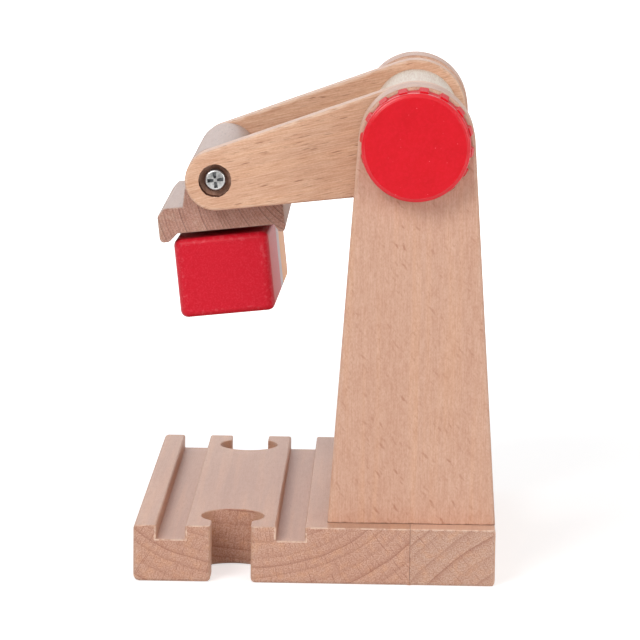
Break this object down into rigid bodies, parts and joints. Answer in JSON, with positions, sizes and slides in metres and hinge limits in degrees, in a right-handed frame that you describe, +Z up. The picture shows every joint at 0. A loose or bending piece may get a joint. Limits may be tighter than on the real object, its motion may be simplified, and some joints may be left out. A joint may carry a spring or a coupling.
{
  "type": "toy tower crane",
  "caption": "Wooden toy railway crane: grooved track base, tapered uprights, arms turned by red knobs, and a level carrier whose magnet holds a red painted block.",
  "frame": {"origin": "middle of the base's underside", "axes": "+X from the track to the panels' side, +Y along the track from the front knob to the rear knob, +Z up"},
  "size_m": [0.0754, 0.1016, 0.1036],
  "materials": {
    "track_beech": "satin",
    "side_beech": "satin",
    "panel_beech": "satin",
    "arm_beech": "satin",
    "roller_beech": "satin",
    "carrier_beech": "satin",
    "knob_plastic": "gloss",
    "cargo_paint": "satin paint",
    "screw_steel": "zinc plated",
    "plate_steel": "rolled",
    "magnet_metal": "nickel plated"
  },
  "bodies": {
    "base": {"track_board": "track_beech", "side_board": "side_beech", "front_panel": "panel_beech", "rear_panel": "panel_beech", "front_panel_screws": "screw_steel", "rear_panel_screws": "screw_steel"},
    "arms": {"drive_axle": "roller_beech", "hub_roller": "roller_beech", "front_arm": "arm_beech", "rear_arm": "arm_beech", "front_knob": "knob_plastic", "rear_knob": "knob_plastic", "front_knob_screw": "screw_steel", "rear_knob_screw": "screw_steel", "front_knob_cap": "knob_plastic", "rear_knob_cap": "knob_plastic"},
    "carrier": {"carrier": "carrier_beech", "front_carrier_screw": "screw_steel", "rear_carrier_screw": "screw_steel", "magnet_screw": "screw_steel"},
    "magnet": {"lifting_magnet": "magnet_metal"},
    "cargo": {"cargo_block": "cargo_paint", "cargo_plate": "plate_steel", "cargo_plate_nail": "screw_steel"}
  },
  "joints": [
    {"name": "arm_turn", "type": "hinge", "parent": "base", "child": "arms", "pos_m": [0.0201, 0, 0.0918], "axis": [0, 1, 0], "continuous": true},
    {"name": "carrier_swing", "type": "hinge", "parent": "arms", "child": "carrier", "pos_m": [-0.02209, 0, 0.08206], "axis": [0, 1, 0], "continuous": true},
    {"name": "magnet_turn", "type": "hinge", "parent": "carrier", "child": "magnet", "pos_m": [-0.02095, 0, 0.07172], "axis": [-0.1097, 0, 0.994], "range_deg": [-1, 4]},
    {"name": "cargo_pull", "type": "slide", "parent": "magnet", "child": "cargo", "axis": [0.1097, 0, -0.994], "range_m": [0, 0.002], "stiffness_N_per_m": 50, "springref_m": -0.006}
  ],
  "couplings": [
    {"joint": "carrier_swing", "follows": "arm_turn", "ratio": -1}
  ]
}
